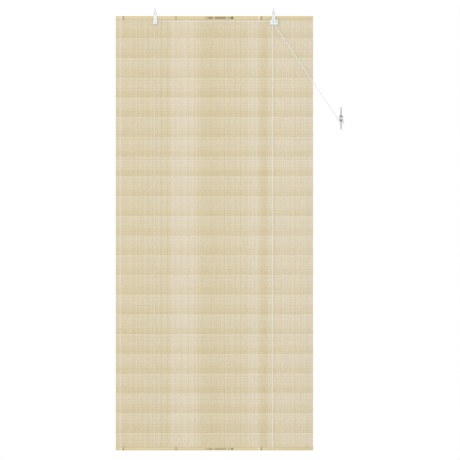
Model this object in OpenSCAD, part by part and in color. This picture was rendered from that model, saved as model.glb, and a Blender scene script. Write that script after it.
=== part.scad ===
// Bamboo roll-up blind with two cord pulleys, a cord lock and a wall cleat.
// Millimetres. The origin is midway between the two ceiling screws, at the ceiling.
// +X is to the right of someone who faces the blind, +Y goes back to the wall, +Z is up.

/* [Blind] */
// width of the mat and its battens
blind_w = 1000; // [800:10:1400]
// height from the top of the head batten to the bottom of the foot batten
blind_h = 2200; // [1200:50:2400]
// distance between the two ceiling screws
hang_span = 600; // [400:10:700]

/* [Mat] */
// height of one woven band, from one open row to the next
band_h = 100; // [95:5:150]
// slats in one band
slats_per_band = 12; // [8:1:14]
// thickness of a slat
slat_t = 1.8; // [1.5:0.1:2.4]
// width of the groove between two slats
groove_w = 1.2; // [1.0:0.1:1.6]
// depth of the groove on each side
groove_d = 0.5; // [0.2:0.05:0.6]
// height of the open row between two bands
gap_h = 0.9; // [0.5:0.1:0.9]
// number of warp threads across the mat
warp_n = 29; // [21:2:39]
// from the side edge of the mat to the first warp thread
warp_inset = 29; // [15:1:40]
// width of a warp thread
warp_w = 1.2; // [0.8:0.1:1.6]
// thickness of a warp thread on each side of the slats
warp_t = 0.5; // [0.3:0.1:0.7]

/* [Battens] */
// height of the head battens
head_h = 18; // [17:0.5:22]
// thickness of the head batten in front of the mat, at its crown
head_t = 5; // [4.5:0.1:5.2]
// height of the foot battens
foot_h = 15; // [13:0.5:18]
// thickness of the foot batten in front of the mat, at its crown
foot_t = 4.5; // [4:0.1:5]
// thickness of the flat battens behind the mat
back_t = 4; // [3.5:0.1:4.2]
// how far a node stands out of a front batten
node_rise = 0.7; // [0.3:0.1:0.9]
// nails between the two housings, in each pair of battens
nail_n = 4; // [2:1:6]

/* [Hanging] */
// radius of the ring of a screw eye, to the middle of the wire
eye_r = 6.7; // [6.2:0.1:7.5]
// thickness of the wire of a screw eye
eye_wire = 3.6; // [3.2:0.1:3.8]
// thickness of the threaded shank of a screw eye
eye_shank = 4; // [3.5:0.1:5]
// how far a screw eye goes into the ceiling
eye_depth = 20; // [15:1:30]
// width of the hook of a housing
hook_w = 4; // [3:0.1:4.2]

/* [Cords and pulleys] */
// thickness of a cord
cord_d = 2.2; // [1.8:0.1:2.4]
// radius of the cord's middle line on a sheave
pitch_r = 4.8; // [4.6:0.1:5.2]
// width of a sheave
sheave_w = 4; // [3.8:0.1:4.4]
// thickness of an axle pin
pin_d = 3; // [2.6:0.1:3.2]
// thickness of the walls of the housings
wall_t = 1.8; // [1.5:0.1:2]
// width of the left housing
pulley_w = 21; // [19:0.5:24]
// width of the cord lock
lock_w = 41; // [40:0.5:44]
// width of the necks that sit on the head batten
neck_w = 16; // [14:0.5:18]
// from the sheave's axle to the pawl's pin
pawl_dx = 12; // [11.9:0.1:12.4]

/* [Cleat] */
// from the middle of the blind to the cleat
cleat_x = 641; // [560:1:800]
// from the ceiling down to the middle of the cleat
cleat_drop = 540; // [450:1:900]
// length over both horns
cleat_l = 114; // [100:1:130]
// width of the cleat's post
post_w = 12; // [11:0.5:14]
// distance between the cleat's two screws
cleat_span = 20; // [18:1:22]
// thickness of the cleat's screws
cleat_screw_d = 3.5; // [3:0.1:4]
// how far the cleat's screws go into the wall
cleat_screw_in = 20; // [15:1:30]

/* [Hidden] */
$fn = 48;
// gaps: a turning face, a cord beside what guides it, and a fixed pin in its hole
run_gap = 0.3;
cord_gap = 0.3;
fit_gap = 0.02;
bore_gap = 0.05;
cord_r = cord_d / 2;
pin_r = pin_d / 2;

// heights under the ceiling, from the ring of the screw eye down
eye_z = -(eye_r + eye_wire / 2 + 0.5);
eye_low = eye_z - eye_r;
neck_top = eye_low - eye_wire / 2 - 2.5;
blind_top = neck_top - 2;
head_mid = blind_top - head_h / 2;
head_low = blind_top - head_h;
blind_low = blind_top - blind_h;
foot_top = blind_low + foot_h;
foot_mid = blind_low + foot_h / 2;

// the mat: its upper edge is one slat above the first band, inside the head battens
slat_pitch = band_h / slats_per_band;
head_grip = slat_pitch + 5;
mat_top = head_low + head_grip;
slat_n = floor((mat_top - blind_low - 2) / slat_pitch);
band_n = floor((slat_n - 1 - (foot_h + 2) / slat_pitch) / slats_per_band);
mat_low = mat_top - slat_n * slat_pitch;
warp_step = (blind_w - 2 * warp_inset) / (warp_n - 1);
gaps_per_row = 5;
gap_margin = 1.5;

// depths, from the sheaves' middle plane at 0 back to the wall
mat_front = 8.1;
mat_back = mat_front + slat_t;
head_front = mat_front - head_t;
back_face = mat_back + back_t;
cord_back = back_face + 2.1;
wall_y = 22;
tag = 0.8;

// an arc through both edges of a front batten that stands sag out in the middle
head_sag = 2.4;
foot_sag = 2.2;
function bow_r(h, sag) = (h * h / 4 + sag * sag) / (2 * sag);
node_at = [0.035, 0.306, 0.595, 0.737];
node_w = 9;

// the screws, nails and staples in the battens
screw_r = 1.5;
screw_z = blind_top - 5.5;
nail_r = 0.6;
nail_in = 2;
staple_z = head_low + 2.5;
staple_w = 3;
wire = 1;
knot_r = 2;

// sheaves and housings
flange_r = pitch_r + 1.4;
root_r = pitch_r - cord_r - cord_gap;
sheave_z = head_low - 13.2;
half_sheave = sheave_w / 2;
left_x = -hang_span / 2;
right_x = hang_span / 2;
cheek_y = half_sheave + run_gap;
left_front = -(cheek_y + wall_t);
lane_y = -(sheave_w + run_gap);
lock_front = lane_y - cheek_y - wall_t;
rear_y = cheek_y + wall_t;
house_top = head_low - 1;
pulley_low = sheave_z - flange_r - 3.6;
lock_low = sheave_z - flange_r - 6.6;
lock_x = right_x + 1.5;
pawl_x = right_x + pawl_dx;
pawl_z = sheave_z + 1.2;
pawl_l = 10.3;
hook_r = eye_wire / 2 + 0.55;
cross_z = sheave_z + pitch_r;

// where each lift cord hangs
left_cord_x = left_x - pitch_r;
right_cord_x = right_x - pitch_r;
loop_r = 2 * cord_d;
loop_z = blind_low - cord_gap - cord_r + loop_r;
join_z = foot_top + 2;
lead = 3;

// the cleat: its horns stand on a post with round ends
cleat_z = -cleat_drop;
post_end = 12;
horn_back = -2;
horn_front = -9;
base_y = wall_y - 4;

// middle line of the front pull cord. It leaves the lock, turns round the post and crosses the horns
exit_r = 6;
exit_z = lock_low + 4;
exit_front = [right_x + pitch_r + exit_r, exit_z];
wrap_r = post_w / 2 + cord_gap + cord_r;
wrap_low = [cleat_x, cleat_z - post_end];
wrap_high = [cleat_x, cleat_z + post_end];
wrap_y = horn_back + cord_gap + cord_r;
pair = cord_d + 0.2;
// the rear pull cord runs on its left, so it leaves the lock lower and starts round the post outside it
exit_rear = exit_front - [0, 1.8 * pair];
function turn(c, r, y, a0, a1, n) =
    [for (i = [0 : n]) let (a = a0 + (a1 - a0) * i / n) [c[0] + r * cos(a), y, c[1] + r * sin(a)]];
function touch(exit_at, r) = let (way = wrap_low - exit_at)
    atan2(way[1], way[0]) - acos(-(r - exit_r) / norm(way));
function pull_start(exit_at, y, r) = concat([[right_x + pitch_r, y, exit_z + lead]],
    turn(exit_at, exit_r, y, -180, touch(exit_at, r), 3), turn(wrap_low, r, wrap_y, touch(exit_at, r), 0, 6));
function pull_wrap(y) = turn(wrap_high, wrap_r, y, 0, 135, 6);
// on the post's right side the rear cord goes from outside the front one to behind it
behind = [for (i = [1, 2]) [cleat_x + wrap_r + pair * cos(30 * i), wrap_y + pair * sin(30 * i),
    cleat_z + (2 * i / 3 - 1) * post_end]];
// over the horns from the left and down as a tail: across, back and up from the middle of the cleat
cross_over = [
    [-8.8, -1.6, 12.8], [-9.8, -4.2, 8.6], [-8.8, -7.6, 5.8], [-5.8, -10.2, 3.7], [-2, -10.5, 1.8],
    [2, -10.5, -0.2], [5.8, -10.1, -2.2], [9.6, -7.6, -4.6], [12.2, -4.9, -8.6], [13.5, -3.3, -14],
    [14, -2.6, -20], [14, -2.4, -26.5]];
// where the rear pull cord lies beside the front one on that stretch
beside = [
    [-0.2, 2.1, -1.2], [-0.4, 1.7, -1.7], [-0.7, 1.1, -2], [-1, 0.4, -2.15], [-1.1, 0, -2.15],
    [-1.1, 0, -2.15], [-1.3, 0, -2], [-1.7, 0, -1.7], [-2.1, 0, -1.1], [-2.35, 0, -0.4],
    [-2.4, 0, 0], [-2.4, 0, 0]];
tail_at = cross_over[len(cross_over) - 1];
pull_front = concat(pull_start(exit_front, lane_y, wrap_r), pull_wrap(wrap_y),
    [for (p = cross_over) p + [cleat_x, 0, cleat_z]]);
pull_rear = concat(pull_start(exit_rear, 0, wrap_r + pair), behind, pull_wrap(wrap_y + pair),
    [for (i = [0 : len(cross_over) - 1]) cross_over[i] + beside[i] + [cleat_x, 0, cleat_z]]);

bamboo = [0.86, 0.80, 0.66];
pole = [0.85, 0.79, 0.60];
cotton = [0.93, 0.91, 0.85];
white = [0.93, 0.95, 0.95];
steel = [0.66, 0.67, 0.68];
zinc = [0.60, 0.61, 0.62];

// a plate in the plane of the blind, from y0 back to y1
module plate(y0, y1) translate([0, y1, 0]) rotate([90, 0, 0]) linear_extrude(y1 - y0) children();

// a rod along Y
module rod(x, z, r, y0, y1) translate([x, y1, z]) rotate([90, 0, 0]) cylinder(r = r, h = y1 - y0);

// a box between two corners
module block(a, b) translate(a) cube(b - a);

// an upright rectangle with round corners
module panel(x, z0, z1, w, r) {
    translate([x - w / 2 + r, z0]) square([w - 2 * r, z1 - z0]);
    translate([x - w / 2, z0 + r]) square([w, z1 - z0 - 2 * r]);
    for (i = [-1, 1], z = [z0 + r, z1 - r]) translate([x + i * (w / 2 - r), z]) circle(r);
}

// a slot shape with round ends, upright
module stadium(w, h) {
    square([w, h - w], center = true);
    for (i = [-1, 1]) translate([0, i * (h - w) / 2]) circle(w / 2);
}

// a cord along its middle line, with eight sides. side is never along the cord
function unit(v) = v / norm(v);
function heading(p, i) =
    i == 0 ? unit(p[1] - p[0]) :
    i == len(p) - 1 ? unit(p[i] - p[i - 1]) :
    unit(unit(p[i + 1] - p[i]) + unit(p[i] - p[i - 1]));
module cord(p, side) {
    n = len(p);
    rings = [for (i = [0 : n - 1])
        let (t = heading(p, i), a = unit(cross(side, t)), b = cross(t, a))
        for (k = [0 : 7]) p[i] + cord_r * (cos(45 * k) * a + sin(45 * k) * b)];
    skin = [for (i = [0 : n - 2], k = [0 : 7])
        [8 * i + k, 8 * i + 8 + k, 8 * i + 8 + (k + 1) % 8, 8 * i + (k + 1) % 8]];
    ends = [[for (k = [0 : 7]) k], [for (k = [7 : -1 : 0]) 8 * (n - 1) + k]];
    color(cotton) polyhedron(rings, concat(skin, ends));
}

// slats side by side, joined at the bottom of their grooves, with open rows between the bands
function slat_edge(i) = mat_top - i * slat_pitch;
function warp_x(i) = -blind_w / 2 + warp_inset + i * warp_step;
function tie(j) = warp_x(round(j * (warp_n - 1) / gaps_per_row));
module slat_mat() {
    g = groove_w / 2;
    deep_front = mat_front + groove_d;
    deep_back = mat_back - groove_d;
    front = [for (i = [0 : slat_n - 1]) let (z0 = slat_edge(i), z1 = slat_edge(i + 1)) each
        [[deep_front, z0], [mat_front, z0 - g], [mat_front, z1 + g]]];
    back = [for (i = [slat_n - 1 : -1 : 0]) let (z0 = slat_edge(i), z1 = slat_edge(i + 1)) each
        [[deep_back, z1], [mat_back, z1 + g], [mat_back, z0 - g]]];
    outline = concat(front, [[deep_front, mat_low]], back, [[deep_back, mat_top]]);
    color(bamboo) difference() {
        rotate([90, 0, 90]) linear_extrude(blind_w, center = true) polygon(outline);
        for (k = [1 : band_n], j = [0 : gaps_per_row - 1]) let (z = slat_edge(1 + k * slats_per_band))
            block([tie(j) + gap_margin, mat_front - 1, z - gap_h / 2],
                [tie(j + 1) - gap_margin, mat_back + 1, z + gap_h / 2]);
        for (x = [left_x, right_x])
            block([x - 2.5, mat_front - 1, screw_z - 2.5], [x + 2.5, mat_back + 1, mat_top + 1]);
    }
}

// the warp threads, which hold the slats from both sides
module warps(y) {
    for (i = [0 : warp_n - 1])
        block([warp_x(i) - warp_w / 2, y, foot_top], [warp_x(i) + warp_w / 2, y + warp_t, head_low]);
}
module warp_threads_front() color(cotton) warps(mat_front - warp_t);
module warp_threads_back() color(cotton) warps(mat_back);

// the outer side of a split pole, with its nodes. z is its middle
module split_pole(h, t, sag, z) {
    r = bow_r(h, sag);
    intersection() {
        translate([0, mat_front - t + r, z]) rotate([0, 90, 0]) union() {
            cylinder(r = r, h = blind_w, center = true);
            for (a = node_at) translate([0, 0, (a - 0.5) * blind_w]) {
                cylinder(r1 = r + node_rise, r2 = r - 0.1, h = node_w / 2);
                mirror([0, 0, 1]) cylinder(r1 = r + node_rise, r2 = r - 0.1, h = node_w / 2);
            }
        }
        block([-blind_w / 2, mat_front - t - 2, z - h / 2], [blind_w / 2, mat_front, z + h / 2]);
    }
}
module strip(z0, z1) {
    c = 1;
    rotate([90, 0, 90]) linear_extrude(blind_w, center = true) polygon([
        [mat_back, z0], [mat_back, z1], [back_face - c, z1], [back_face, z1 - c],
        [back_face, z0 + c], [back_face - c, z0]]);
}
nail_xs = concat([for (i = [0 : nail_n - 1]) hang_span * ((i + 0.5) / nail_n - 0.5)],
    [for (i = [-1, 1]) i * (hang_span + blind_w) / 4]);
module nail(x, z, y0, gap = 0) {
    rod(x, z, nail_r + gap, y0 - gap, back_face + 0.1);
    if (gap == 0) rod(x, z, 1.5, back_face, back_face + 0.6);
}
module nails(z, y0, gap = 0) for (x = nail_xs) nail(x, z, y0, gap);
head_nail_z = blind_top - 2.4;
foot_nail_z = blind_low + 1.9;
head_nail_y = mat_front - nail_in;
foot_nail_y = mat_front - nail_in;
module screw_holes() for (x = [left_x, right_x]) rod(x, screw_z, screw_r + fit_gap, -1.5, back_face + 1);
module head_batten_front() color(pole) difference() {
    split_pole(head_h, head_t, head_sag, head_mid);
    nails(head_nail_z, head_nail_y, fit_gap);
    screw_holes();
}
module head_batten_back() color(pole) difference() {
    strip(head_low, blind_top);
    nails(head_nail_z, head_nail_y, fit_gap);
    screw_holes();
    for (x = [left_cord_x, right_cord_x]) staple(x, fit_gap);
}
module foot_batten_front() color(pole) difference() {
    split_pole(foot_h, foot_t, foot_sag, foot_mid);
    nails(foot_nail_z, foot_nail_y, fit_gap);
}
module foot_batten_back() color(pole) difference() {
    strip(blind_low, foot_top);
    nails(foot_nail_z, foot_nail_y, fit_gap);
}
module head_nails() color(steel) nails(head_nail_z, head_nail_y);
module foot_nails() color(steel) nails(foot_nail_z, foot_nail_y);

// screws from behind that hold the housings on the battens
module housing_screws() color(steel) for (x = [left_x, right_x]) {
    rod(x, screw_z, screw_r, -1, back_face);
    rod(x, screw_z, 3, back_face, back_face + 1.8);
}

// a screw eye: a pointed shank that ends in a ring of wire
module screw_eye(x) {
    point = eye_shank * 1.5;
    color(steel) translate([x, 0, 0]) {
        translate([0, 0, eye_z]) rotate([90, 0, 0]) rotate([0, 0, 90])
            rotate_extrude(angle = 325) translate([eye_r, 0]) circle(eye_wire / 2);
        translate([0, 0, eye_z + eye_r]) cylinder(r = eye_wire / 2, h = -eye_z - eye_r);
        cylinder(r = eye_shank / 2, h = eye_depth - point);
        translate([0, 0, eye_depth - point]) cylinder(r1 = eye_shank / 2, r2 = 0.2, h = point);
    }
}
module screw_eye_left() screw_eye(left_x);
module screw_eye_right() screw_eye(right_x);

// the upper half of a housing: a neck, hollowed to the batten's front, and a hook in the screw eye
module neck(x, front) {
    out = -left_front;
    bow = bow_r(head_h, head_sag);
    difference() {
        plate(front, mat_front) panel(x, house_top - 1, neck_top, neck_w, 2);
        translate([x, head_front + bow, head_mid]) rotate([0, 90, 0])
            cylinder(r = bow + fit_gap, h = neck_w + 2, center = true);
        block([x - neck_w, head_front, blind_top - 2], [x + neck_w, mat_front + 1, neck_top + 1]);
        block([x - neck_w, cheek_y, house_top - 2], [x + neck_w, mat_front + 1, head_low + 2]);
        rod(x, screw_z, screw_r + fit_gap, -1.2, mat_front);
    }
    translate([x, 0, eye_low]) rotate([90, 0, 90]) linear_extrude(hook_w, center = true) difference() {
        union() {
            circle(out);
            translate([-out, neck_top - eye_low - 1]) square([out - hook_r, eye_low - neck_top + 1]);
            translate([hook_r, -1.6]) square([out - hook_r, 1.6]);
        }
        circle(hook_r);
        translate([-hook_r, -2 * out]) square([out + hook_r + 1, 2 * out - 1.6]);
        translate([-hook_r, -out]) square([2 * hook_r, out]);
    }
}

// a sheave with a bevelled groove, on an axle along Y
module sheave(x, y) {
    mouth = half_sheave - 0.25;
    color(white) translate([x, y, sheave_z]) rotate([90, 0, 0]) rotate_extrude() polygon([
        [pin_r + bore_gap, -half_sheave], [flange_r, -half_sheave], [flange_r, -mouth], [root_r, -cord_r],
        [root_r, cord_r], [flange_r, mouth], [flange_r, half_sheave], [pin_r + bore_gap, half_sheave]]);
}
module pulley_sheave() sheave(left_x, 0);
module lock_sheave_rear() sheave(right_x, 0);
module lock_sheave_front() sheave(right_x, lane_y);

// an axle pin with a flat head in front
module pin(x, z, front) {
    rod(x, z, pin_r, front, rear_y);
    rod(x, z, pin_r + 1, front - tag, front);
}
module pulley_pin() color(steel) pin(left_x, sheave_z, left_front);
module lock_pins() color(steel) {
    pin(right_x, sheave_z, lock_front);
    pin(pawl_x, pawl_z, lock_front);
}

// the left housing: a tray with its neck and hook, and a plate that closes it from behind
module pulley_body() color(white) difference() {
    union() {
        plate(left_front, cheek_y) panel(left_x, pulley_low, house_top, pulley_w, 3);
        neck(left_x, left_front);
    }
    plate(-cheek_y, cheek_y + 0.5)
        panel(left_x, pulley_low + wall_t, house_top - wall_t, pulley_w - 2 * wall_t, 1.5);
    block([left_x + 1, -cheek_y, cross_z - 2.6], [left_x + pulley_w, cheek_y + 1, cross_z + 2.6]);
    block([left_cord_x - 2.6, -cheek_y, pulley_low - 1], [left_cord_x + 2.6, cheek_y + 1, pulley_low + 3]);
    rod(left_x, sheave_z, pin_r + fit_gap, left_front - 1, cheek_y);
}
module pulley_back() color(white) difference() {
    plate(cheek_y, rear_y) panel(left_x, pulley_low, house_top, pulley_w, 3);
    rod(left_x, sheave_z, pin_r + fit_gap, 0, rear_y + 1);
}

// the cord lock: a wider tray for two sheaves and a pawl, and an anvil that the pawl presses the cords to
module lock_body() color(white) {
    anvil_x = right_x + pitch_r - cord_r - cord_gap;
    difference() {
        union() {
            plate(lock_front, cheek_y) panel(lock_x, lock_low, house_top, lock_w, 3);
            neck(right_x, lock_front);
        }
        plate(lane_y - cheek_y, cheek_y + 0.5)
            panel(lock_x, lock_low + wall_t, house_top - wall_t, lock_w - 2 * wall_t, 1.5);
        block([lock_x - lock_w, -cheek_y, cross_z - 2.6], [right_x, cheek_y + 1, cross_z + 2.6]);
        block([right_cord_x - 2.6, lane_y - cheek_y, lock_low - 1],
            [right_cord_x + 2.6, -cheek_y, lock_low + 3]);
        block([right_x + pitch_r - 2.8, lane_y - cheek_y, lock_low - 1],
            [right_x + pitch_r + 3.8, cheek_y + 1, lock_low + 3]);
        block([right_x - 2, lock_front - 1, sheave_z + 4], [right_x, lane_y, house_top - wall_t - 0.5]);
        rod(right_x, sheave_z, pin_r + fit_gap, lock_front - 1, cheek_y);
        rod(pawl_x, pawl_z, pin_r + fit_gap, lock_front - 1, cheek_y);
    }
    block([anvil_x - 2, lane_y - cheek_y - 0.5, lock_low + 1],
        [anvil_x, cheek_y, sheave_z - flange_r - 0.8]);
}
module lock_back() color(white) difference() {
    plate(cheek_y, rear_y) panel(lock_x, lock_low, house_top, lock_w, 3);
    rod(right_x, sheave_z, pin_r + fit_gap, 0, rear_y + 1);
    rod(pawl_x, pawl_z, pin_r + fit_gap, 0, rear_y + 1);
}
module lock_pawl() color(zinc) difference() {
    translate([pawl_x, 0, pawl_z]) plate(lane_y - half_sheave, half_sheave) {
        circle(pin_r + 1.6);
        polygon([[-2.4, -1], [-1.9, -6], [-1.4, -6.4], [-1.5, -7.4], [-0.9, -7.8], [-1, -8.8],
            [-0.4, -9.2], [0, -pawl_l], [0.4, -9.2],
            [1, -8.8], [0.9, -7.8], [1.5, -7.4], [1.4, -6.4], [1.9, -6], [2.4, -1]]);
    }
    rod(pawl_x, pawl_z, pin_r + bore_gap, lock_front, rear_y);
}

// where each lift cord is made fast behind the head batten: a staple, with a knot above it
module staple(x, gap = 0) {
    side = wire / 2 + gap;
    for (i = [-1, 1]) translate([x + i * (staple_w + wire) / 2, 0, staple_z])
        block([-side, back_face - 2.5 - gap, -side], [side, cord_back + 2.4, side]);
    if (gap == 0) block([x - staple_w / 2 - wire, cord_back + 1.4, staple_z - wire / 2],
        [x + staple_w / 2 + wire, cord_back + 2.4, staple_z + wire / 2]);
}
module cord_staples() color(steel) for (x = [left_cord_x, right_cord_x]) staple(x);
module anchor_knots() color(cotton) for (x = [left_cord_x, right_cord_x])
    translate([x, cord_back, staple_z + wire / 2 + knot_r]) sphere(knot_r);

// the lift cords: down behind the mat, under the foot battens, up in front and over a sheave
module fall(x, y, z0, z1) cord([[x, y, z0], [x, y, z1]], [1, 0, 0]);
function bend(x, y, a0) =
    [for (i = [0 : 4]) let (a = a0 + 22.5 * i) [x, y + loop_r * cos(a), loop_z + loop_r * sin(a)]];
module under_foot(x, y) cord(concat([[x, y, join_z]],
    bend(x, y + loop_r, 180), bend(x, cord_back - loop_r, 270), [[x, cord_back, join_z]]), [1, 0, 0]);
module left_cord_front() fall(left_cord_x, 0, sheave_z - lead, join_z);
module left_cord_back() fall(left_cord_x, cord_back, staple_z + wire / 2 + 0.5, join_z);
module left_cord_loop() under_foot(left_cord_x, 0);
module right_cord_front() fall(right_cord_x, lane_y, sheave_z - lead, join_z);
module right_cord_back() fall(right_cord_x, cord_back, staple_z + wire / 2 + 0.5, join_z);
module right_cord_loop() under_foot(right_cord_x, lane_y);
module crossing_cord() cord(concat([[left_cord_x, 0, sheave_z - lead]],
    turn([left_x, sheave_z], pitch_r, 0, 180, 90, 4), turn([right_x, sheave_z], pitch_r, 0, 90, 0, 4),
    [[right_x + pitch_r, 0, exit_z + lead]]), [0, 1, 0]);
module right_cord_top() cord(concat([[right_cord_x, lane_y, sheave_z - lead]],
    turn([right_x, sheave_z], pitch_r, lane_y, 180, 0, 8),
    [[right_x + pitch_r, lane_y, exit_z + lead]]), [0, 1, 0]);

// both cords go on to the cleat together and end in one knot
module pull_cord_front() cord(pull_front, [0, 1, 0]);
module pull_cord_rear() cord(pull_rear, [0, 1, 0]);
module end_knot() color(cotton)
    translate([cleat_x + tail_at[0] - 1.2, tail_at[1], cleat_z + tail_at[2] - 1.8]) sphere(3.4);

// the cleat: a foot on the wall, a post and a bar whose two horns curve away from the wall, and its screws
module cleat_screw_heads(gap) for (i = [-1, 1])
    translate([cleat_x, horn_front - 0.1, cleat_z + i * cleat_span / 2]) rotate([-90, 0, 0])
        cylinder(r1 = cleat_screw_d + gap, r2 = cleat_screw_d / 2 + gap, h = cleat_screw_d / 2 + 0.1);
// a round face that is at y in the middle and has come forward by rise at the tips of the horns
module horn_face(y, rise) {
    r = (cleat_l * cleat_l / 4 + rise * rise) / (2 * rise);
    translate([0, y - r, 0]) rotate([0, 90, 0]) cylinder(r = r, h = 2 * post_w, center = true, $fn = 200);
}
module horns() {
    tip = 3.4;
    middle = 5;
    reach = cleat_l / 2 - tip;
    intersection() {
        plate(horn_front - 6, horn_back + 3) {
            polygon([[-middle, -16], [-tip, -reach], [tip, -reach], [middle, -16],
                [middle, 16], [tip, reach], [-tip, reach], [-middle, 16]]);
            for (i = [-1, 1]) translate([0, i * reach]) circle(tip);
        }
        difference() {
            horn_face(horn_back, 5.5);
            horn_face(horn_front, 3);
        }
    }
}
module cleat() color(zinc) difference() {
    translate([cleat_x, 0, cleat_z]) {
        plate(base_y, wall_y) stadium(post_w + 4, 2 * post_end + post_w + 4);
        plate(horn_back - 1.5, base_y + 1) stadium(post_w, 2 * post_end + post_w);
        horns();
    }
    for (i = [-1, 1])
        rod(cleat_x, cleat_z + i * cleat_span / 2, cleat_screw_d / 2 + bore_gap, horn_front - 1, wall_y + 1);
    cleat_screw_heads(bore_gap);
}
module cleat_screws() color(steel) {
    point = cleat_screw_d * 1.5;
    cleat_screw_heads(0);
    for (i = [-1, 1]) {
        z = cleat_z + i * cleat_span / 2;
        rod(cleat_x, z, cleat_screw_d / 2 - 0.3, horn_front, wall_y + 1);
        rod(cleat_x, z, cleat_screw_d / 2, wall_y + 0.2, wall_y + cleat_screw_in - point);
        translate([cleat_x, wall_y + cleat_screw_in - point, z]) rotate([-90, 0, 0])
            cylinder(r1 = cleat_screw_d / 2, r2 = 0.2, h = point);
    }
}

slat_mat();
warp_threads_front();
warp_threads_back();
head_batten_front();
head_batten_back();
foot_batten_front();
foot_batten_back();
head_nails();
foot_nails();
housing_screws();
screw_eye_left();
screw_eye_right();
pulley_body();
pulley_back();
pulley_sheave();
pulley_pin();
lock_body();
lock_back();
lock_sheave_front();
lock_sheave_rear();
lock_pins();
lock_pawl();
cord_staples();
anchor_knots();
left_cord_front();
left_cord_back();
left_cord_loop();
right_cord_front();
right_cord_back();
right_cord_loop();
crossing_cord();
right_cord_top();
pull_cord_front();
pull_cord_rear();
end_knot();
cleat();
cleat_screws();
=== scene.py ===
import math
import random

import bpy
from mathutils import Matrix, Vector


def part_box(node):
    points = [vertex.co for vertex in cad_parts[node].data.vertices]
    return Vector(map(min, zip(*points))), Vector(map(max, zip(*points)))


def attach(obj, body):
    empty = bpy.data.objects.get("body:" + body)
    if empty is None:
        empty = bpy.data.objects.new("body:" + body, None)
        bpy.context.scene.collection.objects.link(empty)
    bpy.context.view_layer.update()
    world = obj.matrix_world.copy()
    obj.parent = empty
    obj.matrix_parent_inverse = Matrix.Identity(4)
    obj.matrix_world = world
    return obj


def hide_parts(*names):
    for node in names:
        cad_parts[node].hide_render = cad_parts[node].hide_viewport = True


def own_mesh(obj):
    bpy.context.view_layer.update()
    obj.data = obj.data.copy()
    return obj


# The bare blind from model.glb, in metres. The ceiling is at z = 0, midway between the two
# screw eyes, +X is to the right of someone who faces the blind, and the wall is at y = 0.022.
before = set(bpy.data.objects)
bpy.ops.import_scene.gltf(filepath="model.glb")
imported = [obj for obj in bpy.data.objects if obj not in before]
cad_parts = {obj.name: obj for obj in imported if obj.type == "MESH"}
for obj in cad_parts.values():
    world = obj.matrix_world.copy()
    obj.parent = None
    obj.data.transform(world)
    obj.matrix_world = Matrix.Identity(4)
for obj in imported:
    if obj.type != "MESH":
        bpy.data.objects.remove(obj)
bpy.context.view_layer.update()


# The slats: strips of split bamboo, about 8 mm high, laid edge to edge in bands of twelve.
# The wood is raw, so it is pale and matt, with fibres along its length. Each slat lies a
# little differently, and the bands stand slightly apart.
def srgb(red, green, blue):
    return [((c / 255 + 0.055) / 1.055) ** 2.4 for c in (red, green, blue)] + [1.0]


def place(material, kind, at, **inputs):
    node = material.node_tree.nodes.new("ShaderNode" + kind)
    node.location = at
    for name, value in inputs.items():
        node.inputs[name.replace("_", " ")].default_value = value
    return node


def wire(material, start, end):
    material.node_tree.links.new(start, end)


def ramp_stops(ramp, stops):
    while len(ramp.color_ramp.elements) < len(stops):
        ramp.color_ramp.elements.new(0.5)
    for element, (position, colour) in zip(ramp.color_ramp.elements, stops):
        element.position = position
        element.color = colour


def shared_effect(name, inputs, outputs):
    tree = bpy.data.node_groups.new(name, "ShaderNodeTree")
    for socket, kind in inputs:
        tree.interface.new_socket(socket, in_out="INPUT", socket_type="NodeSocket" + kind)
    for socket in outputs:
        tree.interface.new_socket(socket, in_out="OUTPUT", socket_type="NodeSocketFloat")
    return tree, tree.nodes.new("NodeGroupInput"), tree.nodes.new("NodeGroupOutput")


fibres, fibre_in, fibre_out = shared_effect("bamboo_fibres", [("Vector", "Vector")], ["Level"])
fibre_sum = fibres.nodes.new("ShaderNodeMath")
fibre_sum.operation = "ADD"
fibre_middle = fibres.nodes.new("ShaderNodeMath")
fibre_middle.operation = "SUBTRACT"
fibre_middle.inputs[1].default_value = 1.0
for socket, stretch in enumerate(((5, 40, 420), (22, 160, 2100))):
    run = fibres.nodes.new("ShaderNodeMapping")
    run.inputs["Scale"].default_value = stretch
    grain = fibres.nodes.new("ShaderNodeTexNoise")
    grain.inputs["Scale"].default_value = 1.0
    grain.inputs["Detail"].default_value = 3.0
    fibres.links.new(fibre_in.outputs["Vector"], run.inputs["Vector"])
    fibres.links.new(run.outputs["Vector"], grain.inputs["Vector"])
    fibres.links.new(grain.outputs["Fac"], fibre_sum.inputs[socket])
fibres.links.new(fibre_sum.outputs[0], fibre_middle.inputs[0])
fibres.links.new(fibre_middle.outputs[0], fibre_out.inputs["Level"])


def finish_of(name, colour, roughness, metallic=0.0):
    material = bpy.data.materials.new(name)
    material.use_nodes = True
    shader = material.node_tree.nodes["Principled BSDF"]
    shader.inputs["Base Color"].default_value = colour
    shader.inputs["Roughness"].default_value = roughness
    shader.inputs["Metallic"].default_value = metallic
    return material, shader


def bumped(material, shader, height, depth, strength, at):
    bump = place(material, "Bump", at, Strength=strength, Distance=depth)
    wire(material, height, bump.inputs["Height"])
    wire(material, bump.outputs["Normal"], shader.inputs["Normal"])


def maths(material, operation, first, second, at, third=0.0):
    step = place(material, "Math", at)
    step.operation = operation
    for socket, value in zip(step.inputs, (first, second, third)):
        if isinstance(value, float):
            socket.default_value = value
        else:
            wire(material, value, socket)
    return step.outputs[0]


def with_effect(material, tree, at):
    where = place(material, "TexCoord", (at[0] - 250, at[1])).outputs["Object"]
    group = place(material, "Group", at)
    group.node_tree = tree
    wire(material, where, group.inputs["Vector"])
    return where, group


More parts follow.
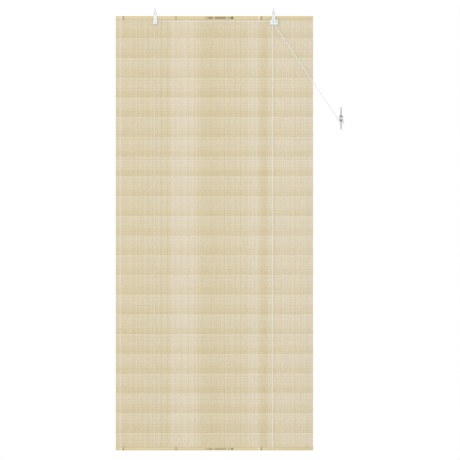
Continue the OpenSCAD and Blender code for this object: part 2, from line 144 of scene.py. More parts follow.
def noise_at(material, where, stretch, detail, at):
    spread = place(material, "Mapping", (at[0] - 200, at[1]), Scale=stretch)
    noise = place(material, "TexNoise", at, Scale=1.0, Detail=detail)
    wire(material, where, spread.inputs["Vector"])
    wire(material, spread.outputs["Vector"], noise.inputs["Vector"])
    return noise.outputs["Fac"]


def grey(level):
    return (level, level, level, 1.0)


def joined(pieces, name):
    bpy.ops.object.select_all(action="DESELECT")
    for piece in pieces:
        piece.select_set(True)
    bpy.context.view_layer.objects.active = pieces[0]
    bpy.ops.object.join()
    whole = bpy.context.object
    whole.name = name
    return whole


# How tan a slat is depends on its place in its band, on the pole's own light and dark lengths,
# which line up from slat to slat, and on the slat itself.
raw_bamboo, raw_shader = finish_of("raw_bamboo", srgb(219, 206, 177), 0.72)
raw_place, raw_fibres = with_effect(raw_bamboo, fibres, (-1300, -300))
raw_level = raw_fibres.outputs["Level"]
raw_axes = place(raw_bamboo, "SeparateXYZ", (-1300, 200))
wire(raw_bamboo, raw_place, raw_axes.inputs[0])
bands_a_metre, first_band = 10.0, -0.35
band_at = maths(raw_bamboo, "MULTIPLY_ADD", raw_axes.outputs["Z"], -bands_a_metre, (-1100, 400), first_band)
band_tone = place(raw_bamboo, "ValToRGB", (-700, 400))
ramp_stops(band_tone, [
    (0.0, grey(0.36)), (0.35, grey(0.42)), (0.55, grey(0.5)), (0.85, grey(0.72)), (1.0, grey(0.7))])
wire(raw_bamboo, maths(raw_bamboo, "FRACT", band_at, 0.0, (-900, 400)), band_tone.inputs[0])
pole_tone = place(raw_bamboo, "ValToRGB", (-700, 150))
ramp_stops(pole_tone, [
    (0.0, grey(0.56)), (0.021, grey(0.56)), (0.024, grey(0.28)), (0.029, grey(0.28)), (0.032, grey(0.58)),
    (0.27, grey(0.56)), (0.29, grey(0.3)), (0.395, grey(0.3)), (0.43, grey(0.6)),
    (0.47, grey(0.65)), (0.5, grey(0.63)), (0.56, grey(0.57)), (0.66, grey(0.48)), (0.69, grey(0.3)),
    (0.715, grey(0.3)), (0.728, grey(0.58)), (0.745, grey(0.66)), (0.762, grey(0.64)), (0.775, grey(0.39)),
    (1.0, grey(0.37))])
wire(raw_bamboo, maths(raw_bamboo, "ADD", raw_axes.outputs["X"], 0.5, (-900, 150)), pole_tone.inputs[0])
streaks = noise_at(raw_bamboo, raw_place, (170, 0, 0), 1.0, (-700, -100))
band_place = place(raw_bamboo, "CombineXYZ", (-900, -300))
wire(raw_bamboo, raw_axes.outputs["X"], band_place.inputs["X"])
wire(raw_bamboo, maths(raw_bamboo, "FLOOR", band_at, 0.0, (-1100, -300)), band_place.inputs["Z"])
patches = noise_at(raw_bamboo, band_place.outputs[0], (26, 0, 7.3), 2.0, (-500, -300))
slat_tone = place(raw_bamboo, "Attribute", (-700, -520))
slat_tone.attribute_name = "slat_tone"
streak_share, patch_share, slat_share, fibre_share, palest = 1.7, 0.25, 0.3, 0.15, 1.61
tan = maths(raw_bamboo, "ADD", band_tone.outputs[0], pole_tone.outputs[0], (-400, 300))
tan = maths(raw_bamboo, "MULTIPLY_ADD", streaks, streak_share, (-220, 240), tan)
tan = maths(raw_bamboo, "MULTIPLY_ADD", patches, patch_share, (-40, 180), tan)
tan = maths(raw_bamboo, "MULTIPLY_ADD", slat_tone.outputs["Fac"], slat_share, (140, 120), tan)
tan = maths(raw_bamboo, "MULTIPLY_ADD", raw_level, fibre_share, (320, 60), tan)
tan = maths(raw_bamboo, "SUBTRACT", tan, palest, (500, 60))
raw_tone = place(raw_bamboo, "Mix", (680, 60))
raw_tone.data_type = "RGBA"
raw_tone.inputs[6].default_value = srgb(218, 208, 186)
raw_tone.inputs[7].default_value = srgb(198, 180, 132)
wire(raw_bamboo, tan, raw_tone.inputs[0])
wire(raw_bamboo, raw_tone.outputs[2], raw_shader.inputs["Base Color"])
bumped(raw_bamboo, raw_shader, raw_level, 0.0002, 0.35, (680, -300))

mat_lower, mat_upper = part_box("slat_mat")
slat_count, slats_a_band, slat_parts = 263, 12, 8
slat_pitch = (mat_upper.z - mat_lower.z) / slat_count
slat_gap, band_gap = 0.0005, 0.0008
slat_high = slat_pitch - slat_gap
slat_deep = mat_upper.y - mat_lower.y
mat_middle = (mat_upper.y + mat_lower.y) / 2
bpy.ops.object.select_all(action="DESELECT")
bpy.ops.mesh.primitive_cube_add(size=1)
slat = bpy.context.object
slat.scale = (mat_upper.x - mat_lower.x, slat_deep, slat_high)
bpy.ops.object.transform_apply(location=True, rotation=True, scale=True)
bpy.ops.object.mode_set(mode="EDIT")
bpy.ops.mesh.bevel(offset=0.0006, segments=2, affect="EDGES")
for step in range(1, slat_parts):
    bpy.ops.mesh.select_all(action="SELECT")
    bpy.ops.mesh.bisect(plane_co=(step / slat_parts - 0.5, 0, 0), plane_no=(1, 0, 0))
bpy.ops.object.mode_set(mode="OBJECT")

random.seed(7)
band_slats = [random.random() for place_in_band in range(slats_a_band)]
slat_shift, slat_tilt, slat_short, slat_thin = 0.00004, 0.5, 0.0006, 0.9
slats = []
for i in range(slat_count):
    one = slat.copy()
    one.data = slat.data.copy()
    bpy.context.collection.objects.link(one)
    above = band_gap if i % slats_a_band == 1 else slat_gap
    below = band_gap if i % slats_a_band == 0 else slat_gap
    top = mat_upper.z - i * slat_pitch - above / 2
    low = mat_upper.z - (i + 1) * slat_pitch + below / 2
    one.data.transform(
        Matrix.Translation((0, mat_middle + random.uniform(-slat_shift, slat_shift), (top + low) / 2))
        @ Matrix.Rotation(math.radians(random.uniform(-slat_tilt, slat_tilt)), 4, "X")
        @ Matrix.Diagonal((1 - random.uniform(0, slat_short), slat_thin, (top - low) / slat_high, 1)))
    shade = one.data.attributes.new("slat_tone", "FLOAT", "POINT")
    own_tone = 0.6 * band_slats[i % slats_a_band] + 0.4 * random.random()
    shade.data.foreach_set("value", [own_tone] * len(one.data.vertices))
    slats.append(one)
bpy.data.objects.remove(slat)
mat = joined(slats, "bamboo_slats")
bpy.ops.object.shade_smooth_by_angle(angle=math.radians(35))
mat.data.materials.append(raw_bamboo)
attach(mat, "blind")
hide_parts("slat_mat")
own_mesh(mat)


# The warp threads: cotton, one in front of the slats and one behind at each of 29 places.
# A thread rises over a slat and dips into the groove to its neighbour on the other side.
cotton, cotton_shader = finish_of("cotton_thread", srgb(236, 231, 219), 0.9)
cotton_place = place(cotton, "TexCoord", (-800, 0))
twist = place(cotton, "TexWave", (-560, 0), Scale=260.0, Distortion=2.0, Detail=1.0)
twist.bands_direction = "DIAGONAL"
wire(cotton, cotton_place.outputs["Object"], twist.inputs["Vector"])
# The twist's hollows, where the bump is lowest, are painted darker: painted shade in the twist grooves.
ply_shade = place(cotton, "ValToRGB", (-320, 0))
ramp_stops(ply_shade, [(0.0, srgb(208, 197, 170)), (1.0, srgb(232, 224, 206))])
wire(cotton, twist.outputs["Fac"], ply_shade.inputs[0])
wire(cotton, ply_shade.outputs[0], cotton_shader.inputs["Base Color"])
bumped(cotton, cotton_shader, twist.outputs["Fac"], 0.0002, 0.4, (-200, -300))


def tube(name, points, radius, sides):
    line = bpy.data.curves.new(name, "CURVE")
    line.dimensions = "3D"
    line.bevel_depth = radius
    line.bevel_resolution = sides
    line.use_fill_caps = True
    spline = line.splines.new("POLY")
    spline.points.add(len(points) - 1)
    for point, place_at in zip(spline.points, points):
        point.co = (*place_at, 1)
    made = bpy.data.objects.new(name, line)
    bpy.context.collection.objects.link(made)
    return made


def as_mesh(made):
    bpy.ops.object.select_all(action="DESELECT")
    made.select_set(True)
    bpy.context.view_layer.objects.active = made
    bpy.ops.object.convert(target="MESH")
    return bpy.context.object


warp_count, warp_span, warp_r = 29, 0.942, 0.0006
warp_dip, warp_rise = -0.00025, 0.0003
for side, face, out in (("front", mat_lower.y, -1), ("back", mat_upper.y, 1)):
    warp_lower, warp_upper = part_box("warp_threads_" + side)
    thread_path = [(0, face + out * warp_rise, warp_upper.z)]
    for i in range(slat_count):
        for down, height in ((0.0, warp_dip), (0.5, warp_rise)):
            z = mat_upper.z - (i + down) * slat_pitch
            if warp_lower.z < z < warp_upper.z:
                thread_path.append((0, face + out * height, z))
    thread_path.append((0, face + out * warp_rise, warp_lower.z))
    pattern = as_mesh(tube("warp", thread_path, warp_r, 0))
    warps = []
    for i in range(warp_count):
        one = pattern.copy()
        one.data = pattern.data.copy()
        bpy.context.collection.objects.link(one)
        warp_x = i * warp_span / (warp_count - 1) - warp_span / 2
        one.data.transform(Matrix.Translation((warp_x, 0, 0)))
        warps.append(one)
    bpy.data.objects.remove(pattern)
    threads = joined(warps, "cotton_warps_" + side)
    bpy.ops.object.shade_smooth()
    threads.data.materials.append(cotton)
    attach(threads, "blind")
    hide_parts("warp_threads_" + side)
    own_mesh(threads)


# The front battens: the outer side of a split bamboo pole, round in front and flat behind.
# Both come from one pole, so they have the same nodes, and the same brown stain in the middle.
def multiply(material, first, second, at):
    mix = place(material, "Mix", at)
    mix.data_type = "RGBA"
    mix.blend_type = "MULTIPLY"
    mix.inputs[0].default_value = 1.0
    wire(material, first, mix.inputs[6])
    wire(material, second, mix.inputs[7])
    return mix.outputs[2]


rind, rind_shader = finish_of("bamboo_rind", srgb(212, 196, 152), 0.42)
rind_place, rind_fibres = with_effect(rind, fibres, (-1100, -300))
rind_level = rind_fibres.outputs["Level"]
rind_axes = place(rind, "SeparateXYZ", (-1100, 200))
wire(rind, rind_place, rind_axes.inputs[0])
wander = noise_at(rind, rind_place, (90, 200, 200), 3.0, (-900, 420))
ragged = maths(rind, "MULTIPLY_ADD", wander, 0.006, (-720, 420), 0.497)
along = maths(rind, "ADD", rind_axes.outputs["X"], ragged, (-540, 300))
plain, scar, chip = srgb(211, 195, 150), srgb(160, 143, 105), srgb(228, 217, 186)
node_marks = place(rind, "ValToRGB", (-360, 460))
ramp_stops(node_marks, [
    (0.0, plain), (0.024, plain), (0.027, chip), (0.031, chip), (0.034, scar), (0.04, scar), (0.044, plain),
    (0.299, plain), (0.305, scar), (0.312, plain), (0.722, plain), (0.725, chip), (0.73, chip),
    (0.733, scar), (0.739, scar), (0.743, plain), (1.0, plain)])
wire(rind, along, node_marks.inputs[0])
brown, olive = srgb(138, 112, 74), srgb(84, 80, 48)
stain = place(rind, "ValToRGB", (-360, 200))
ramp_stops(stain, [(0.0, brown), (0.565, brown), (0.575, srgb(112, 102, 66)), (0.586, olive), (1.0, olive)])
wire(rind, along, stain.inputs[0])
stain_share = place(rind, "ValToRGB", (-360, -60))
ramp_stops(stain_share, [
    (0.0, grey(0.0)), (0.44, grey(0.0)), (0.462, grey(0.4)), (0.476, grey(0.9)), (0.489, grey(0.9)),
    (0.494, grey(0.2)), (0.5, grey(0.2)), (0.504, grey(0.85)), (0.557, grey(0.8)), (0.562, grey(0.2)),
    (0.567, grey(0.2)), (0.571, grey(0.7)), (0.577, grey(0.35)), (0.582, grey(0.5)), (0.586, grey(1.0)),
    (0.593, grey(1.0)), (0.598, grey(0.0)), (1.0, grey(0.0))])
wire(rind, along, stain_share.inputs[0])
crown = place(rind, "MapRange", (-540, -300), From_Min=0.0044, From_Max=0.0036)
wire(rind, rind_axes.outputs["Y"], crown.inputs["Value"])
marked = place(rind, "Mix", (-120, 260))
marked.data_type = "RGBA"
wire(rind, maths(rind, "MULTIPLY", stain_share.outputs[0], crown.outputs[0], (-200, -200)), marked.inputs[0])
wire(rind, node_marks.outputs[0], marked.inputs[6])
wire(rind, stain.outputs[0], marked.inputs[7])
rind_shade = maths(rind, "MULTIPLY_ADD", rind_level, 0.3, (-120, 0), 1.0)
wire(rind, multiply(rind, marked.outputs[2], rind_shade, (80, 160)), rind_shader.inputs["Base Color"])
bumped(rind, rind_shader, rind_level, 0.0002, 0.25, (80, -300))

node_shares = (0.035, 0.306, 0.595, 0.737)
node_ridge = (
    (-0.0055, 0), (-0.003, 0.00022), (-0.0012, 0.0006), (0, 0.0003),
    (0.0012, 0.0006), (0.003, 0.00022), (0.0055, 0))


def split_pole(name, solid, thick, sag, body):
    lower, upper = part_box(solid)
    high = upper.z - lower.z
    middle = (upper.z + lower.z) / 2
    round_r = (high * high / 4 + sag * sag) / (2 * sag)
    axis_y = mat_lower.y - thick + round_r
    bpy.ops.object.select_all(action="DESELECT")
    bpy.ops.mesh.primitive_cylinder_add(vertices=160, radius=round_r, depth=upper.x - lower.x,
        location=(0, axis_y, middle), rotation=(0, math.pi / 2, 0))
    pole = bpy.context.object
    pole.name = name
    bpy.ops.object.transform_apply(location=True, rotation=True, scale=True)
    bpy.ops.object.mode_set(mode="EDIT")
    flats = [((0, mat_lower.y, 0), (0, 1, 0)), ((0, 0, upper.z), (0, 0, 1)), ((0, 0, lower.z), (0, 0, -1))]
    for cut_at, outward in flats:
        bpy.ops.mesh.select_all(action="SELECT")
        bpy.ops.mesh.bisect(plane_co=cut_at, plane_no=outward, use_fill=True, clear_outer=True)
    cuts = []
    for share in node_shares:
        for offset, rise in node_ridge:
            cuts.append((lower.x + share * (upper.x - lower.x) + offset, rise))
    for cut_x, rise in cuts:
        bpy.ops.mesh.select_all(action="SELECT")
        bpy.ops.mesh.bisect(plane_co=(cut_x, 0, 0), plane_no=(1, 0, 0))
    for cut_x, rise in cuts:
        bpy.ops.mesh.select_all(action="DESELECT")
        bpy.ops.object.mode_set(mode="OBJECT")
        for point in pole.data.vertices:
            point.select = abs(point.co.x - cut_x) < 1e-6 and point.co.y < mat_lower.y - 0.0002
        bpy.ops.object.mode_set(mode="EDIT")
        bpy.ops.transform.translate(value=(0, -rise, 0))
    bpy.ops.mesh.select_all(action="SELECT")
    bpy.ops.mesh.normals_make_consistent(inside=False)
    bpy.ops.object.mode_set(mode="OBJECT")
    edge = pole.modifiers.new("edge", "BEVEL")
    edge.width = 0.0004
    edge.segments = 2
    edge.limit_method = "ANGLE"
    edge.angle_limit = math.radians(40)
    bpy.ops.object.modifier_apply(modifier="edge")
    bpy.ops.object.shade_smooth_by_angle(angle=math.radians(40))
    pole.data.materials.append(rind)
    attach(pole, body)
    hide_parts(solid)


split_pole("head_pole", "head_batten_front", thick=0.005, sag=0.0024, body="blind")
split_pole("foot_pole", "foot_batten_front", thick=0.0045, sag=0.0022, body="foot")


# The back battens: flat strips of the same bamboo, with the inner side of the wood outside.
# Nails hold each pair together through the mat, and their flat heads show behind.
inner_wood, inner_shader = finish_of("bamboo_inside", srgb(214, 197, 158), 0.65)
inner_level = with_effect(inner_wood, fibres, (-700, 0))[1].outputs["Level"]
inner_base = place(inner_wood, "RGB", (-500, 200))
inner_base.outputs[0].default_value = srgb(206, 188, 148)
inner_shade = maths(inner_wood, "MULTIPLY_ADD", inner_level, 0.4, (-500, 0), 1.0)
inner_tone = multiply(inner_wood, inner_base.outputs[0], inner_shade, (-250, 100))
wire(inner_wood, inner_tone, inner_shader.inputs["Base Color"])
bumped(inner_wood, inner_shader, inner_level, 0.0002, 0.3, (-250, -250))


def rounded(solid, body, material, edge, name, openings=()):
    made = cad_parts[solid].copy()
    made.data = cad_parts[solid].data.copy()
    made.name = name
    made.parent = None
    made.matrix_world = Matrix.Identity(4)
    bpy.context.collection.objects.link(made)
    bpy.ops.object.select_all(action="DESELECT")
    made.select_set(True)
    bpy.context.view_layer.objects.active = made
    bpy.ops.object.mode_set(mode="EDIT")
    bpy.ops.mesh.select_all(action="SELECT")
    bpy.ops.mesh.remove_doubles(threshold=1e-6)
    bpy.ops.mesh.dissolve_limited(angle_limit=math.radians(0.5))
    bpy.ops.object.mode_set(mode="OBJECT")
    soften = made.modifiers.new("edge", "BEVEL")
    soften.width = edge
    soften.segments = 2
    soften.limit_method = "ANGLE"
    soften.angle_limit = math.radians(50)
    bpy.ops.object.modifier_apply(modifier="edge")
    for opening in openings:
        cut = made.modifiers.new("opening", "BOOLEAN")
        cut.operation = "DIFFERENCE"
        cut.object = opening
        bpy.ops.object.modifier_apply(modifier="opening")
        bpy.data.objects.remove(opening)
    bpy.ops.object.shade_smooth_by_angle(angle=math.radians(40))
    flat_faces = made.modifiers.new("flat_faces", "WEIGHTED_NORMAL")
    flat_faces.keep_sharp = True
    bpy.ops.object.modifier_apply(modifier="flat_faces")
    made.data.materials.clear()
    made.data.materials.append(material)
    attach(made, body)
    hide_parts(solid)


rounded("head_batten_back", "blind", inner_wood, 0.0004, "head_strip")
rounded("foot_batten_back", "foot", inner_wood, 0.0004, "foot_strip")

mottle, mottle_in, mottle_out = shared_effect(
    "mottle", [("Vector", "Vector"), ("Grain", "Float"), ("Contrast", "Float")], ["Shade", "Height"])
speckle = mottle.nodes.new("ShaderNodeTexNoise")
speckle.inputs["Detail"].default_value = 5.0
speckle_middle = mottle.nodes.new("ShaderNodeMath")
speckle_middle.operation = "SUBTRACT"
speckle_shade = mottle.nodes.new("ShaderNodeMath")
speckle_shade.operation = "MULTIPLY_ADD"
speckle_shade.inputs[2].default_value = 1.0
mottle.links.new(mottle_in.outputs["Vector"], speckle.inputs["Vector"])
mottle.links.new(mottle_in.outputs["Grain"], speckle.inputs["Scale"])
mottle.links.new(speckle.outputs["Fac"], speckle_middle.inputs[0])
mottle.links.new(speckle_middle.outputs[0], speckle_shade.inputs[0])
mottle.links.new(mottle_in.outputs["Contrast"], speckle_shade.inputs[1])
mottle.links.new(speckle_shade.outputs[0], mottle_out.inputs["Shade"])
mottle.links.new(speckle.outputs["Fac"], mottle_out.inputs["Height"])


def mottled(name, colour, roughness, metallic, grain, contrast, depth):
    material, shader = finish_of(name, colour, roughness, metallic)
    group = with_effect(material, mottle, (-650, 0))[1]
    group.inputs["Grain"].default_value = grain
    group.inputs["Contrast"].default_value = contrast
    base = place(material, "RGB", (-650, 220))
    base.outputs[0].default_value = colour
    shade = multiply(material, base.outputs[0], group.outputs["Shade"], (-350, 120))
    wire(material, shade, shader.inputs["Base Color"])
    bumped(material, shader, group.outputs["Height"], depth, 0.2, (-350, -250))
    return material


plated = mottled("plated_steel", srgb(118, 119, 121), roughness=0.4, metallic=1.0,
    grain=700.0, contrast=0.3, depth=0.0001)
for nails in ("head_nails", "foot_nails", "housing_screws", "cord_staples"):
    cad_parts[nails].data.materials.clear()
    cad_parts[nails].data.materials.append(plated)


# The screw eyes: zinc-plated wire, closed to a ring below the ceiling and threaded above it.
# The thread runs out on the point, and a narrow gap is left where the ring meets the shank.
zinc = mottled("zinc_wire", srgb(180, 182, 183), roughness=0.4, metallic=0.9,
    grain=420.0, contrast=0.2, depth=0.0001)
turn_steps, thread_r, point_share = 16, 0.0004, 0.08


def wood_screw(name, start, end, tip, core, lead):
    bpy.ops.object.select_all(action="DESELECT")
    bpy.ops.mesh.primitive_cylinder_add(vertices=32, radius=core, depth=end - tip,
        location=(0, 0, (end - tip) / 2))
    shank = bpy.context.object
    bpy.ops.object.transform_apply(location=True, rotation=True, scale=True)
    for face in shank.data.polygons:
        face.select = face.normal.z > 0.9
    bpy.ops.object.mode_set(mode="EDIT")
    bpy.ops.mesh.extrude_region_move(TRANSFORM_OT_translate={"value": (0, 0, tip)})
    bpy.ops.transform.resize(value=(point_share, point_share, 1), center_override=(0, 0, end))
    bpy.ops.object.mode_set(mode="OBJECT")
    coil = []
    for step in range(int((end - start) / lead * turn_steps)):
        z = start + step * lead / turn_steps
        wide = core * min(1.0, max(point_share, (end - z) / tip))
        a = 2 * math.pi * step / turn_steps
        coil.append((wide * math.cos(a), wide * math.sin(a), z))
    return joined([shank, as_mesh(tube("thread", coil, thread_r, 1))], name)


def turned(middle, radius, y, start, stop, steps):
    points = []
    for i in range(steps + 1):
        a = math.radians(start + (stop - start) * i / steps)
        points.append((middle[0] + radius * math.cos(a), y, middle[1] + radius * math.sin(a)))
    return points


hang_x = 0.3
eye_r, eye_z, eye_wire = 0.0067, -0.009, 0.0018
for side, eye_x in (("left", -hang_x), ("right", hang_x)):
    ring = turned((0, eye_z), eye_r, 0, 90, 415, 65)
    neck = [(0, 0, -0.0023), (0, 0, -0.001), (0, 0, 0.0002)]
    eye = joined([
        wood_screw("eye_screw", start=0.0008, end=0.02, tip=0.006, core=0.0016, lead=0.0017),
        as_mesh(tube("eye_neck", neck, eye_wire, 4)),
        as_mesh(tube("eye_ring", ring, eye_wire, 4))], "threaded_eye_" + side)
    eye.data.transform(Matrix.Translation((eye_x, 0, 0)))
    bpy.ops.object.shade_smooth_by_angle(angle=math.radians(50))
    eye.data.materials.append(zinc)
    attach(eye, "blind")
    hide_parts("screw_eye_" + side)


# The left pulley: a moulded white housing on the head batten, hung by its hook in the screw eye.
# A plate closes it from behind, and a steel pin carries its sheave.
white = mottled("white_plastic", srgb(219, 225, 225), roughness=0.34, metallic=0.0,
    grain=500.0, contrast=0.05, depth=0.00005)
rounded("pulley_body", "blind", white, 0.0005, "pulley_housing")
rounded("pulley_back", "blind", white, 0.0004, "pulley_plate")
rounded("pulley_sheave", "left_wheel", white, 0.0002, "pulley_wheel")
rounded("pulley_pin", "blind", plated, 0.0002, "pulley_axle")


# The cord lock on the right: a wider housing of the same plastic, with two sheaves on one pin.
# A toothed pawl of die-cast zinc swings beside them and holds the cords.
cast = mottled("cast_zinc", srgb(164, 164, 164), roughness=0.45, metallic=0.85,
    grain=350.0, contrast=0.2, depth=0.0002)
rounded("lock_body", "blind", white, 0.0005, "lock_housing")
rounded("lock_back", "blind", white, 0.0004, "lock_plate")
rounded("lock_sheave_front", "front_wheel", white, 0.0002, "lock_front_wheel")
rounded("lock_sheave_rear", "rear_wheel", white, 0.0002, "lock_rear_wheel")
rounded("lock_pins", "blind", plated, 0.0002, "lock_axles")
rounded("lock_pawl", "pawl", cast, 0.00015, "toothed_pawl")


# The lift cords: braided cotton, 2.2 mm thick. Each is made fast behind the head batten, goes
# down behind the mat, under the foot battens, up in front and over its sheave.
weave, weave_in, weave_out = shared_effect("braid_strands", [("Vector", "Vector")], ["Strand"])
strands = weave.nodes.new("ShaderNodeMath")
strands.operation = "MAXIMUM"
for socket, turn in enumerate(((0.0, 0.0, 0.0), (0.0, math.pi, 0.6))):
    lean = weave.nodes.new("ShaderNodeMapping")
    lean.inputs["Rotation"].default_value = turn
    strand = weave.nodes.new("ShaderNodeTexWave")
    strand.bands_direction = "DIAGONAL"
    strand.inputs["Scale"].default_value = 330.0
    weave.links.new(weave_in.outputs["Vector"], lean.inputs["Vector"])
    weave.links.new(lean.outputs["Vector"], strand.inputs["Vector"])
    weave.links.new(strand.outputs["Fac"], strands.inputs[socket])
weave.links.new(strands.outputs[0], weave_out.inputs["Strand"])


def braided(name, groove_shade, crest):
    material, shader = finish_of(name, crest, 0.8)
    shader.inputs["Sheen Weight"].default_value = 0.6
    group = with_effect(material, weave, (-650, 0))[1]
    # The groove colour darkens the hollows between the strands, painted shade; the crest colour is the
    # cord's own white.
    tone = place(material, "ValToRGB", (-400, 120))
    ramp_stops(tone, [(0.0, groove_shade), (0.5, crest)])
    wire(material, group.outputs["Strand"], tone.inputs[0])
    wire(material, tone.outputs[0], shader.inputs["Base Color"])
    bumped(material, shader, group.outputs["Strand"], 0.0002, 0.3, (-250, -250))
    return material


braid = braided("braided_cord", srgb(228, 229, 229), srgb(250, 251, 251))

cord_r = 0.0011
sheave_z = -0.0532
pitch_r = 0.0048
lane_y = -0.0043
back_y = 0.016
left_x, right_x = -hang_x - pitch_r, hang_x - pitch_r
loop_r, loop_z, join_z, bend_steps = 0.0044, -2.219, -2.205, 8


def held_cord(name, points, body, *solids):
    made = as_mesh(tube(name, points, cord_r, 2))
    bpy.ops.object.shade_smooth_by_angle(angle=math.radians(60))
    made.data.materials.append(braid)
    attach(made, body)
    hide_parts(*solids)
    return made


for side, cord_x, front_y in (("left", left_x, 0.0), ("right", right_x, lane_y)):
    for run, y in (("front", front_y), ("back", back_y)):
        solid = f"{side}_cord_{run}"
        low, top = (corner.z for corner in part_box(solid))
        fall = held_cord(f"{side}_{run}_run", [(cord_x, y, top), (cord_x, y, low)], "blind", solid)
        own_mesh(fall)
    loop = [(cord_x, front_y, join_z)]
    for start, bend_y in ((180, front_y + loop_r), (270, back_y - loop_r)):
        for i in range(bend_steps + 1):
            a = math.radians(start + 90 * i / bend_steps)
            loop.append((cord_x, bend_y + loop_r * math.cos(a), loop_z + loop_r * math.sin(a)))
    loop.append((cord_x, back_y, join_z))
    held_cord(f"{side}_foot_loop", loop, "foot", f"{side}_cord_loop")

exit_x, exit_z = hang_x + pitch_r, -0.059
start_z = sheave_z - 0.003
crossing = [(left_x, 0, start_z)] + turned((-hang_x, sheave_z), pitch_r, 0, 180, 90, bend_steps)
crossing += turned((hang_x, sheave_z), pitch_r, 0, 90, 0, bend_steps) + [(exit_x, 0, exit_z)]
held_cord("crossing_run", crossing, "blind", "crossing_cord")
over_sheave = [(right_x, lane_y, start_z)]
over_sheave += turned((hang_x, sheave_z), pitch_r, lane_y, 180, 0, 2 * bend_steps)
over_sheave += [(exit_x, lane_y, exit_z)]
held_cord("right_turn", over_sheave, "blind", "right_cord_top")
knot_steps = 48


def overhand(name, middle, size, thick):
    path = []
    for i in range(knot_steps):
        t = 2 * math.pi * i / knot_steps
        across = size * (math.sin(t) + 2 * math.sin(2 * t)) / 3
        deep = size * math.sin(3 * t) / 2
        up = size * (math.cos(t) - 2 * math.cos(2 * t)) / 3
        path.append((middle[0] + across, middle[1] - deep, middle[2] + up))
    line = tube(name, path, thick, 2)
    line.data.splines[0].use_cyclic_u = True
    made = as_mesh(line)
    bpy.ops.object.shade_smooth()
    return made


knot_lower, knot_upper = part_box("anchor_knots")
knot_z = (knot_lower.z + knot_upper.z) / 2
knots = joined([
    overhand("anchor_knot", (cord_x, back_y, knot_z), size=0.0013, thick=0.0007)
    for cord_x in (left_x, right_x)], "anchor_stops")
knots.data.materials.append(braid)
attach(knots, "blind")
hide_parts("anchor_knots")


# The cleat: die-cast zinc on the wall beside the blind, a post on a foot and two curved horns.
# Two countersunk screws go through its middle into the wall.
cleat_x, cleat_z = 0.641, -0.540
screw_places = (-0.53, -0.55)
core_r, head_r, head_deep, head_y = 0.00145, 0.0035, 0.00185, -0.0091
seat_r, seat_deep, seat_y = 0.0038, 0.004, -0.011
cross_long, cross_wide, cross_deep = 0.0042, 0.0009, 0.0022
seats = []
for screw_z in screw_places:
    bpy.ops.object.select_all(action="DESELECT")
    bpy.ops.mesh.primitive_cylinder_add(vertices=48, radius=seat_r, depth=seat_deep,
        location=(cleat_x, seat_y, screw_z), rotation=(math.pi / 2, 0, 0))
    bpy.ops.object.transform_apply(location=True, rotation=True, scale=True)
    seats.append(bpy.context.object)
rounded("cleat", "blind", cast, 0.0009, "wall_cleat", seats)
blackened = mottled("blackened_steel", srgb(56, 56, 58), roughness=0.5, metallic=0.7,
    grain=600.0, contrast=0.3, depth=0.0001)
wall_screws = []
for screw_z in screw_places:
    body = wood_screw("wall_screw_body", start=0.0313, end=0.0511, tip=0.00525, core=core_r, lead=0.0013)
    bpy.ops.object.select_all(action="DESELECT")
    bpy.ops.mesh.primitive_cone_add(vertices=32, radius1=head_r, radius2=core_r, depth=head_deep,
        location=(0, 0, head_deep / 2))
    head = bpy.context.object
    bpy.ops.object.transform_apply(location=True, rotation=True, scale=True)
    for across in ((cross_long, cross_wide), (cross_wide, cross_long)):
        bpy.ops.mesh.primitive_cube_add(size=1, location=(0, 0, 0), scale=(*across, cross_deep))
        slot = bpy.context.object
        recess = head.modifiers.new("recess", "BOOLEAN")
        recess.operation = "DIFFERENCE"
        recess.object = slot
        bpy.context.view_layer.objects.active = head
        bpy.ops.object.modifier_apply(modifier="recess")
        bpy.data.objects.remove(slot)
    screw = joined([body, head], "wall_screw")
    screw.data.transform(
        Matrix.Translation((cleat_x, head_y, screw_z)) @ Matrix.Rotation(-math.pi / 2, 4, "X"))
    wall_screws.append(screw)
fixing = joined(wall_screws, "wall_screws")
bpy.ops.object.shade_smooth_by_angle(angle=math.radians(40))
fixing.data.materials.append(blackened)
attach(fixing, "blind")
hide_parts("cleat_screws")


# The pull cords: both lift cords leave the lock together and run straight to the cleat.
# They go once round its post, over the middle of the horns, and hang down to one knot. This part
# of the cord and its knot are painted greyer than the lift cords, as painted shade.
# Both braid colours here are darker than the lift cords' braid: painted shade on the pull cords and their
# knot.
shaded_pull_braid = braided("pull_cord_painted_shade", srgb(204, 204, 204), srgb(237, 237, 237))
exit_r, wrap_r, wrap_y, wrap_half, pair = 0.006, 0.0074, -0.0006, 0.012, 0.0024
wrap_low, wrap_high = (cleat_x, cleat_z - wrap_half), (cleat_x, cleat_z + wrap_half)
leave_front = -0.062
leave_rear = leave_front - 1.8 * pair


def pull_start(y, leave_z, radius):
    leave = (exit_x + exit_r, leave_z)
    way = Vector(wrap_low) - Vector(leave)
    touch = math.degrees(math.atan2(way.y, way.x) - math.acos(-(radius - exit_r) / way.length))
    bend = turned(leave, exit_r, y, -180, touch, 6)
    return [(exit_x, y, exit_z)] + bend + turned(wrap_low, radius, wrap_y, touch, 0, 12)


behind = []
for i in (1, 2):
    a = math.pi / 6 * i
    rise = (2 * i / 3 - 1) * wrap_half
    behind.append((cleat_x + wrap_r + pair * math.cos(a), wrap_y + pair * math.sin(a), cleat_z + rise))
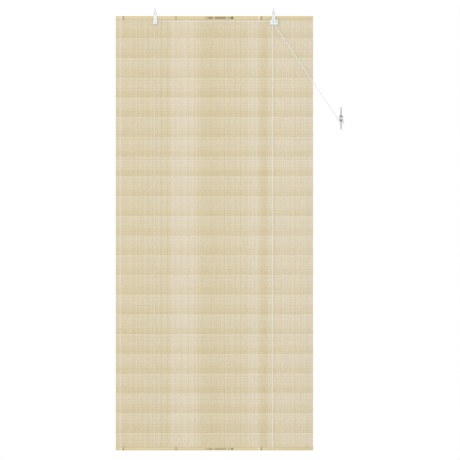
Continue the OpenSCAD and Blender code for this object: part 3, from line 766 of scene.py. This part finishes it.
# In millimetres from the middle of the cleat, and how far the rear cord lies from the front one.
cross_over = [
    (-8.8, -1.6, 12.8), (-9.8, -4.2, 8.6), (-8.8, -7.6, 5.8), (-5.8, -10.2, 3.7),
    (-2, -10.5, 1.8), (2, -10.5, -0.2), (5.8, -10.1, -2.2), (9.6, -7.6, -4.6),
    (12.2, -4.9, -8.6), (13.5, -3.3, -14), (14, -2.6, -20), (14, -2.4, -26.5)]
beside = [
    (-0.2, 2.1, -1.2), (-0.4, 1.7, -1.7), (-0.7, 1.1, -2), (-1, 0.4, -2.15),
    (-1.1, 0, -2.15), (-1.1, 0, -2.15), (-1.3, 0, -2), (-1.7, 0, -1.7),
    (-2.1, 0, -1.1), (-2.35, 0, -0.4), (-2.4, 0, 0), (-2.4, 0, 0)]
knot_lower, knot_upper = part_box("end_knot")
end_knot = overhand("pull_knot", (knot_lower + knot_upper) / 2, size=0.0024, thick=0.001)
end_knot.data.materials.append(shaded_pull_braid)
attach(end_knot, "blind")
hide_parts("end_knot")
pull_front = pull_start(lane_y, leave_front, wrap_r) + turned(wrap_high, wrap_r, wrap_y, 0, 135, 12)
pull_front += [(cleat_x + x / 1000, y / 1000, cleat_z + z / 1000) for x, y, z in cross_over]
pull_rear = pull_start(0.0, leave_rear, wrap_r + pair) + behind
pull_rear += turned(wrap_high, wrap_r, wrap_y + pair, 0, 135, 12)
pull_rear += [(cleat_x + (x + dx) / 1000, (y + dy) / 1000, cleat_z + (z + dz) / 1000)
    for (x, y, z), (dx, dy, dz) in zip(cross_over, beside)]
for name, route, on_end in (("front", pull_front, [end_knot]), ("rear", pull_rear, [])):
    pull = tube("pull_" + name, route, cord_r, 2)
    pull.data.materials.append(shaded_pull_braid)
    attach(pull, "blind")
    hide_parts("pull_cord_" + name)


# The studio: a pale floor below the blind, a white surround, one broad soft lamp in front of the
# blind, a little to its left, and the even light of the room.
bpy.ops.object.select_all(action="DESELECT")
bpy.ops.mesh.primitive_plane_add(size=5, location=(0, 0.2, -2.6))
floor = bpy.context.object
floor.name = "floor"
floor.data.materials.append(finish_of("pale_floor", srgb(236, 236, 234), 0.8)[0])
room = bpy.data.worlds.new("room")
bpy.context.scene.world = room
room.use_nodes = True
rays = place(room, "LightPath", (-800, 0)).outputs
bright = maths(room, "MAXIMUM", rays["Is Camera Ray"], rays["Is Glossy Ray"], (-600, 0))
bright = maths(room, "MAXIMUM", bright, rays["Is Transmission Ray"], (-400, 0))
level = place(room, "MapRange", (-200, 0), To_Min=0.8, To_Max=1.0)
wire(room, bright, level.inputs["Value"])
surround = room.node_tree.nodes["Background"]
surround.inputs["Color"].default_value = (1, 1, 1, 1)
wire(room, level.outputs[0], surround.inputs["Strength"])
lamp = bpy.data.lights.new("soft_lamp", "AREA")
lamp.shape = "SQUARE"
lamp.size = 6
lamp.energy = 560
soft_lamp = bpy.data.objects.new("soft_lamp", lamp)
soft_lamp.location = (-3.2, -12.4, -0.6)
soft_lamp.rotation_euler = (Vector((0, 0, -1.1)) - soft_lamp.location).to_track_quat("-Z", "Y").to_euler()
bpy.context.collection.objects.link(soft_lamp)

# The camera looks straight at the blind from far away, as the photograph does. Its lens shows
# a square 2.331 m wide at the front of the mat.
sensor, mat_away, view_wide = 36, 12.008, 2.331
lens = bpy.data.cameras.new("camera")
lens.sensor_width = sensor
lens.lens = sensor * mat_away / view_wide
lens.clip_end = 100
camera = bpy.data.objects.new("camera", lens)
camera.location = (0.0788, -12.0, -1.1055)
camera.rotation_euler = (math.pi / 2, 0, 0)
bpy.context.collection.objects.link(camera)
bpy.context.scene.camera = camera
bpy.context.scene.view_settings.view_transform = "Standard"
